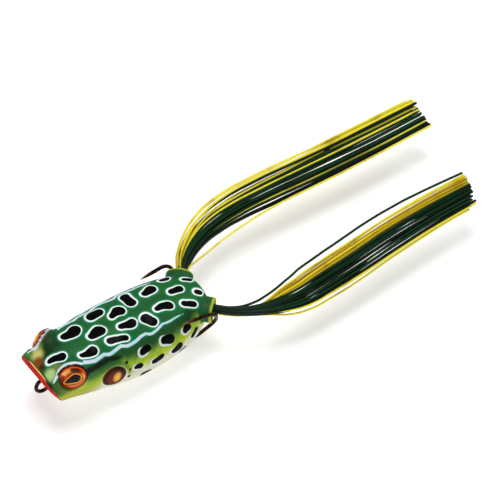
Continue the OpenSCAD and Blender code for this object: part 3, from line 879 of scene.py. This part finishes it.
def build_eye(name, side, iris, dome):
    centre, out, front, up = eye_axes(side)
    disc = [(0.4, -1.05), (3.6, -1.05), (4.2, -0.98), (4.34, -0.8), (4.36, -0.3), (4.3, -0.1), (IRIS_R, -0.03)]
    disc += [(IRIS_R * math.cos(t), -0.03 + IRIS_RISE * math.sin(t)) for t in np.linspace(0.06, 1.54, 24)]
    v, f = turned(centre, out, front, up, disc)
    o = make(name + "_iris", v, f)
    q = v - centre
    rise = np.maximum(q @ out, 0)
    a, b = q @ front / EYE_R - 0.025 * rise, q @ up / EYE_R - 0.18 * rise
    dx, dy = 0.74, -0.21
    t = np.clip(((a + 0.2) * dx + (b + 0.12) * dy) / (dx * dx + dy * dy), 0, 1)
    pupil = np.hypot(a + 0.2 - t * dx, b + 0.12 - t * dy) - (0.31 * (1 - t) ** 0.75 + 0.02)
    write(o, {"front": a, "rise": b, "pupil": pupil})
    finish_piece(o, "lure", iris, "eye_print", name + "_disc")
    cap = [(4.21 * math.cos(t), 0.03 + 1.82 * math.sin(t)) for t in np.linspace(1.5, 0.04, 20)]
    cap += [(4.3, 0.04), (4.36, 0.12), (4.38, 0.28)]
    cap += [(4.38 * math.cos(t), 0.34 + 1.94 * math.sin(t)) for t in np.linspace(0.06, 1.52, 24)]
    v, f = turned(centre, out, front, up, cap)
    o = make(name + "_dome", v, f)
    finish_piece(o, "lure", dome, "eye_dome", name + "_lens")


# Hook: wire radius, direction of the arm to the point, lean of the bend's plane, left point
WIRE = 0.65
ARM = unit((0.11, 1, -0.09))
LEAN = np.array([-math.sin(math.radians(15.5)), 0, -math.cos(math.radians(15.5))])
DOWN = unit(LEAN - ARM * np.dot(LEAN, ARM))
POINT = np.array([11.8, 46.1, 9.1])
BEND_R, BEND_TURN = 5.0, math.radians(131)
# The straight shank behind the ring: y, z
SHANK = [(3.3, -0.45), (5.5, -0.58), (10, -1.45), (16, -2.6), (26, -3.6), (36, -4.6)]


def hook_half():
    """Middle line and radius of one wire, from the ring's front to the hook's point; left side."""
    turn = np.radians(np.linspace(180, 322, 26))
    ring = [(0.62 * (t - math.pi) / 2.6, 2.1 * math.cos(t), 2.1 * math.sin(t)) for t in turn]
    shank = [(0.68, *place) for place in SHANK]
    start = POINT + ARM * 8.6
    c = start + DOWN * BEND_R
    neck = ARM * math.cos(BEND_TURN) + DOWN * math.sin(BEND_TURN)
    bend = [c + (ARM * math.sin(t) - DOWN * math.cos(t)) * BEND_R for t in np.linspace(BEND_TURN, 0, 30)]
    end = bend[0]
    parts = [np.array(ring), np.array(shank), np.array([end + neck * 5.0, end + neck * 2.5]), np.array(bend),
             np.array([start - ARM * 3, start - ARM * 6, POINT])]
    return np.concatenate(parts)


def build_hook():
    path, run = smooth_path(hook_half(), 0.35)
    left = run[-1] - run
    radius = np.interp(left, [0, 0.5, 2.0, 4.6], [0.06, 0.17, 0.44, WIRE])
    upper = path * [-1, 1, 1]
    upper[:, 2] *= np.interp(run, [0, 5.2, 7.5], [-1, -1, 1])
    whole = np.concatenate([path[::-1], upper[1:]])
    r = np.concatenate([radius[::-1], radius[1:]])
    v, f, along = sweep(whole, r, r, 16, up=(0.3, 0.1, 1))
    parts = [(v, f)]
    for side in (1, -1):
        flip = np.array([side, 1, 1])
        a, b = (POINT + ARM * 4.6 + DOWN * 0.15) * flip, (POINT + ARM * 7.0 + DOWN * 1.18) * flip
        t = np.linspace(0, 1, 7)[:, None]
        barb = a * (1 - t) + b * t - (DOWN * flip) * 0.22 * t * (1 - t) * 4
        w = np.interp(t[:, 0], [0, 0.3, 1], [0.3, 0.4, 0.05])
        bv, bf, _ = sweep(barb, w * 0.7, w, 10)
        parts.append((bv, bf))
    v, f = join(parts)
    o = make("double_hook_wire", v, f)
    tip = np.minimum(*[np.linalg.norm(v - POINT * np.array([s, 1, 1]), axis=1) for s in (1, -1)])
    # painted highlight near the points, with a little copper everywhere
    write(o, {"point_glint": 0.45 * (1 - ramp(tip, 0.5, 5)) + 0.06})
    return finish_piece(o, "lure", wire_material(), "hook_steel", "double_hook")


ROUTES = {
    "left": [
        (10.03, 61.11, 4.7), (12.6, 63.2, 4.9), (15.8, 66.9, 5.3), (18.6, 71.9, 5.8), (20.5, 78.4, 6),
        (21.3, 86, 6), (20.8, 94.5, 6), (19.9, 107.5, 6), (18.3, 125.5, 6), (17.6, 143, 6), (17.7, 161, 6),
    ],
    "right": [
        (-10.03, 61.11, 4.7), (-12.8, 63.6, 4.9), (-16.4, 68.3, 5.4), (-19.6, 74.7, 5.9), (-21.9, 83, 6),
        (-22.8, 92, 6), (-22.7, 104, 6), (-22.1, 116, 6), (-21.5, 130, 6), (-21, 146, 6), (-20.7, 170, 6),
    ],
}
KNEES = {"left": (21.3, 86.0, 6.0), "right": (-22.8, 92.0, 6.0)}
# Heights of the strands' layers, by colour
LAYERS = {"G": (-0.6, -0.1, 0.5), "Y": (0.62, -0.7, 0.0)}
# Half spread of a leg by distance from its pivot
SPREAD = {
    "left": [
        (-9, 1.5), (0, 1.5), (8, 1.6), (14, 2.2), (20, 3.5), (26, 4.8), (33, 5.7), (45, 6.0), (70, 5.8),
        (112, 5.0),
    ],
    "right": [
        (-9, 1.5), (-3, 1.7), (0, 2.3), (4, 2.6), (8, 3.1), (16, 4.2), (24, 5.2), (34, 5.8), (48, 6.0),
        (62, 6.0), (90, 5.9), (114, 5.6),
    ],
}
# Colours of the strands across each leg, from its right edge to its left; a dot is a gap
ORDER = {
    "left": "G.YYYYYYYYYYYYGGGGGGGGGGGGGGGGGGG.YY",
    "right": "YYYYYYYGGYYGGYYGGGGGGGGGGYGYGGGG.Y",
}
# Length of each leg from its pivot, radius of its clamped root, half thickness of its strands
TIPS = {"left": 103.8, "right": 112.0}
ROOT_R = 1.45
GIRTH = {"G": 0.39, "Y": 0.33}
# Share of a disc's area up to each place across it: spreads the strands evenly over the root
DISC_X = np.linspace(-1, 1, 201)
DISC_SHARE = (DISC_X * np.sqrt(1 - DISC_X**2) + np.arcsin(DISC_X)) / (math.pi / 2)


def leg_strands(side):
    """Middle lines, from the root to the tip, of every strand of one leg, with its colour and tone."""
    random = np.random.default_rng(11 if side == "left" else 23)
    route, run = smooth_path(ROUTES[side], 0.5)
    inside = np.arange(9, 0, -0.5)
    back = route[0] - np.array([SIDES[side], 1, 1]) * SOCKET_DIR * inside[:, None]
    path = np.concatenate([back, route])
    along = np.concatenate([-inside, run])
    t = unit(np.gradient(path, axis=0))
    for _ in range(6):
        t[1:-1] = (t[:-2] + t[1:-1] + t[2:]) / 3
    t = unit(t)
    across = unit(np.cross(t, (0, 0, 1)))
    rise = np.cross(across, t)
    order = ORDER[side]
    count = len(order)
    strands = []
    layer = 0
    for i, colour in enumerate(order):
        if colour == ".":
            continue
        place = (2 * i - count + 1) / (count - 1) + random.uniform(-0.03, 0.03) * (0.5 if colour == "G" else 1)
        layer += 1
        height = LAYERS[colour][layer % 3] + random.uniform(-0.08, 0.08)
        if colour == "G":
            height += 0.25
        late = side == "left" and colour == "Y"
        root = np.interp(place * 0.96, DISC_SHARE, DISC_X)
        root_x, root_z = ROOT_R * root, ROOT_R * math.sqrt(1 - root * root) * np.clip(height, -1, 1)
        if late:
            root_x, root_z = root_x * 0.7, -0.5 - 0.8 * abs(height)
        w = np.interp(along, *np.array(SPREAD[side]).T)
        open_up = ramp(along, -3.5, 6) if side == "right" else ramp(along, 6 if late else 0, 24 if late else 16)
        x = root_x * (1 - open_up) + open_up * place * w * 0.96
        x = np.where(along < 0, root_x, x)
        depth = np.interp(along, [0, 20, 60, 112], [1.2, 1.25, 1.0, 0.95])
        z = root_z * (1 - open_up) + open_up * height * depth
        z = z - open_up * 0.5 * place * w
        f1, f2, f3 = random.uniform(0, 6.28, 3)
        sway = ramp(along, 12, 45)
        x = x + sway * (0.4 * np.sin(along / 27 + 2.6 * place + 0.5 * f2)
                        + 0.1 * np.sin(along / random.uniform(11, 19) + f1) + 0.05 * np.sin(along / 5.6 + f2))
        z = z + sway * (0.12 * np.sin(along / random.uniform(9, 15) + f3)
                        + 0.3 * np.sin(along / 22 + 3 * place))
        if side == "left" and i == 0:
            x = x - np.interp(along, [8, 22, 60, 80, 112], [0, 0.5, 1.6, 1.8, 0.4])
        if side == "right" and i < 7:
            spill = np.exp(-((along - 16) / 17) ** 2)
            x, z = x + 0.24 * i * spill, z + (0.4 + 0.12 * i) * spill * ramp(along, -2, 6)
        if side == "right" and i == count - 1:
            x = x + 2.9 * ramp(along, -1, 14) * np.exp(-(np.maximum(along - 16, 0) / 26) ** 2)
        line = path + across * x[:, None] + rise * z[:, None]
        slant = -4.4 if side == "left" else 1.2
        end = TIPS[side] + 1.1 * math.sin(i * 1.9) + random.uniform(-1.1, 1.1) + slant * place
        strands.append((colour, line, along, end, random.uniform(0, 1)))
    return strands


def cut_strand(line, along, lo, hi, girth):
    """The part of a strand between two distances, as a tube with softly squared section."""
    hi = min(hi, along[-1])
    at = np.concatenate([[lo], along[(along > lo + 0.2) & (along < hi - 0.2)], [hi]])
    keep = np.unique(np.concatenate([at[::2], at[-1:]]))
    p = np.stack([np.interp(keep, along, line[:, k]) for k in range(3)], 1)
    v, f, _ = sweep(p, girth, girth * 0.96, 8, squareness=3.2)
    run = np.repeat(keep, 8)
    return v, f, run


# The near and far strands meet this far before the knee
SEAM = 7.0


def build_leg(side, green, yellow):
    strands = leg_strands(side)
    knee = np.array(KNEES[side])
    route, run = smooth_path(ROUTES[side], 0.5)
    knee_run = run[np.argmin(np.linalg.norm(route - knee, axis=1))]
    seam = knee_run - SEAM
    pieces = {}
    for name, lo, hi, colours in (
            ("root", -8.6, -2.2, "GY"), ("near_green", -2.2, seam, "G"), ("near_yellow", -2.2, seam, "Y"),
            ("far_green", seam, None, "G"), ("far_yellow", seam, None, "Y")):
        parts, tone, places, shade = [], [], [], []
        for colour, line, along, end, t in strands:
            if colour not in colours:
                continue
            v, f, r = cut_strand(line, along, lo, end if hi is None else hi, GIRTH[colour])
            parts.append((v, f))
            tone.append(np.full(len(v), t))
            places.append(r)
            # painted shade: darker towards the root, plus a fixed random share per strand; written as the side
            # attribute
            shade.append(np.clip((1 - ramp(r, 2, 22)) * 0.6 + 0.25 * math.sin(t * 40) ** 2, 0, 1))
        v, f = join(parts)
        o = make(f"{side}_strands_{name}", v, f)
        write(o, {"tone": np.concatenate(tone), "run": np.concatenate(places), "side": np.concatenate(shade)})
        pieces[name] = o
    finish_piece(pieces["root"], "lure", green, "strand_green", f"{side}_skirt_root")
    for kind, material in (("green", green), ("yellow", yellow)):
        near, far = pieces["near_" + kind], pieces["far_" + kind]
        finish_piece(near, None, material, "strand_" + kind, f"{side}_near_{kind}")
        finish_piece(far, None, material, "strand_" + kind, f"{side}_far_{kind}")
        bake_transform(near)
        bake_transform(far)


# Lights, in metres and watts: place, size, power; the camera's place and its right, top and back
LIGHTS = {
    "key": ((-0.25, 0.15, 0.9), 0.5, 4.6),
    "fill": ((0.75, -0.35, 0.5), 0.6, 2.2),
    "rim": ((-0.2, 0.75, 0.45), 0.4, 1.3),
}
LIT_POINT = (0, 0.085, 0)
CAMERA_PLACE = (0.42418, -0.22673, 0.59328)
CAMERA_AXES = (0.5878, 0.809, 0), (-0.6012, 0.4368, 0.6691), (0.5413, -0.3933, 0.7431)


def build_stage():
    low = CAD_BOX[0][2]
    bpy.ops.mesh.primitive_grid_add(x_subdivisions=24, y_subdivisions=24, size=3.0, location=(0, 0.08, low))
    floor = bpy.context.object
    floor.name = "floor"
    m = Paint("pale_floor")
    m.set(Base_Color=m.mix(m.noise(40.0), rgb(238, 238, 238), rgb(244, 244, 244)))
    # The floor also glows: its emission lights the lure from below and lightens its shadows, standing in for a
    # lamp.
    m.set(Roughness=0.9, Specular_IOR_Level=0.05, Emission_Color=(1, 1, 1, 1), Emission_Strength=0.38)
    floor.data.materials.append(m.mat)
    world = bpy.data.worlds.new("studio")
    world.use_nodes = True
    sky = world.node_tree.nodes["Background"].inputs
    sky["Color"].default_value = (0.95, 0.97, 1.0, 1)
    sky["Strength"].default_value = 0.34
    bpy.context.scene.world = world
    for name, (place, size, power) in LIGHTS.items():
        light = bpy.data.lights.new(name, "AREA")
        light.size = size
        light.energy = power
        o = bpy.data.objects.new(name, light)
        o.location = place
        o.rotation_euler = (Vector(LIT_POINT) - o.location).to_track_quat("-Z", "Y").to_euler()
        bpy.context.scene.collection.objects.link(o)
    cam = bpy.data.cameras.new("camera")
    cam.lens, cam.sensor_width = 172.8, 36
    cam.clip_start, cam.clip_end = 0.01, 10
    o = bpy.data.objects.new("camera", cam)
    turn = Matrix(CAMERA_AXES).transposed().to_4x4()
    o.matrix_world = Matrix.Translation(CAMERA_PLACE) @ turn
    bpy.context.scene.collection.objects.link(o)
    bpy.context.scene.camera = o
    bpy.context.scene.view_settings.view_transform = "Standard"


def node_material(node, material):
    o = bpy.data.objects[node]
    o.data.materials.clear()
    o.data.materials.append(material)


build_body()
iris, dome = iris_material(), dome_material()
for side in SIDES:
    build_eye(side + "_eye", SIDES[side], iris, dome)
build_hook()
# the first colour of each silicone is its colour in painted shade
green = strand_material("dark_green_silicone", rgb(1, 9, 5), rgb(3, 34, 18), rgb(16, 54, 26), 0.02)
yellow = strand_material("yellow_silicone", rgb(168, 126, 26), rgb(243, 226, 30), rgb(250, 238, 84), 0.1)
for side in SIDES:
    build_leg(side, green, yellow)
braze = metal_material("braze", rgb(140, 92, 52), rgb(196, 140, 84), 0.34, 1600.0, 0.00005)
node_material("shank_braze", braze)
lead = metal_material("lead", rgb(92, 94, 98), rgb(142, 144, 148), 0.52, 500.0, 0.0001)
node_material("belly_weight", lead)
rubber = rubber_material()
for side in SIDES:
    node_material(side + "_skirt_band", rubber)
build_stage()
